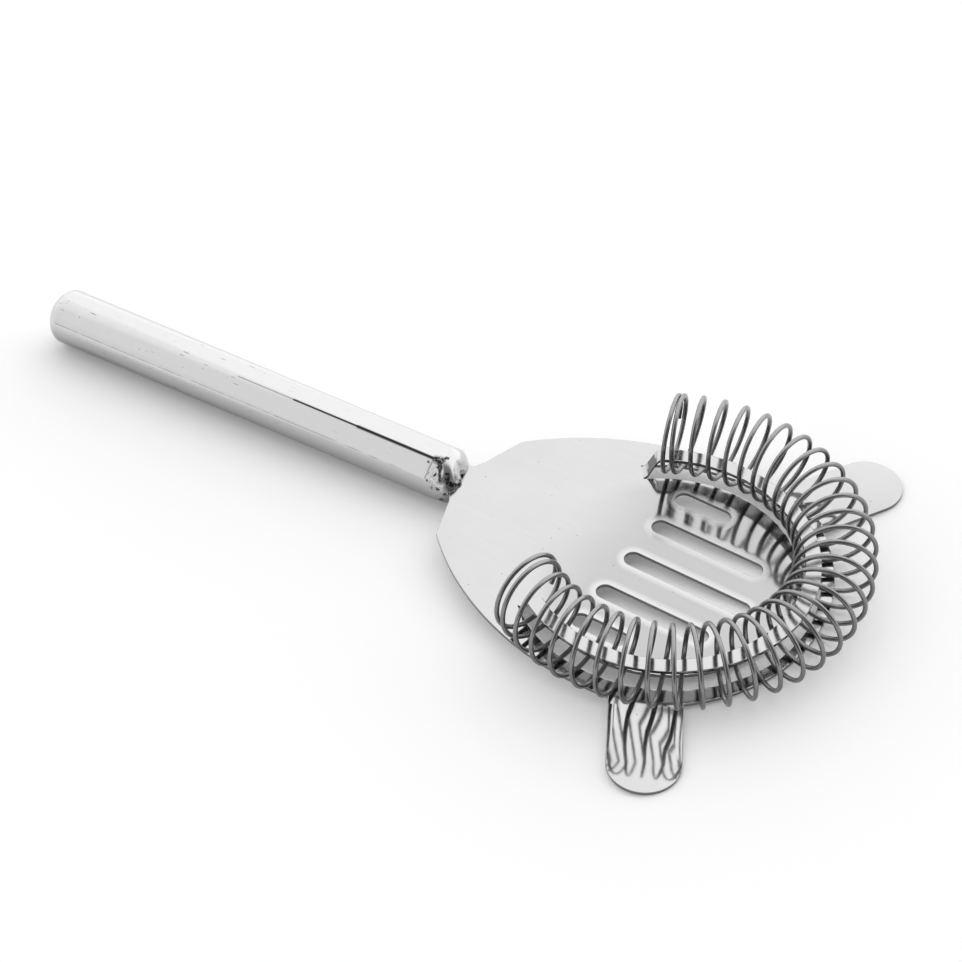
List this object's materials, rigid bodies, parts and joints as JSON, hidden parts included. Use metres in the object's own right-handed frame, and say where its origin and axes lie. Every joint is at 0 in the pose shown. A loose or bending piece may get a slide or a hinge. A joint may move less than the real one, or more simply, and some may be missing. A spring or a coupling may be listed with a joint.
{
  "type": "hawthorne strainer",
  "caption": "Cocktail strainer: slotted round steel plate with two side ears, a coil spring threaded on a raised C-shaped strip, and an eight-sided tube handle.",
  "frame": {"origin": "centre of the round rim, on the upper face of the sheet", "axes": "+X from the handle towards the tip, +Z out of the sheet on the spring side, +Y completes the right-handed frame"},
  "size_m": [0.2174, 0.1154, 0.0328],
  "materials": {
    "polished_sheet": "polished stainless sheet",
    "polished_tube": "polished stainless tube, lightly scratched",
    "spring_wire": "drawn stainless wire"
  },
  "bodies": {
    "strainer": {"strainer_plate": "polished_sheet", "handle_tube": "polished_tube"},
    "spring": {"coil_spring": "spring_wire"}
  },
  "joints": [
    {"name": "spring_press", "type": "slide", "parent": "strainer", "child": "spring", "axis": [-1, 0, 0], "range_m": [0, 0.0007], "stiffness_N_per_m": 300}
  ]
}
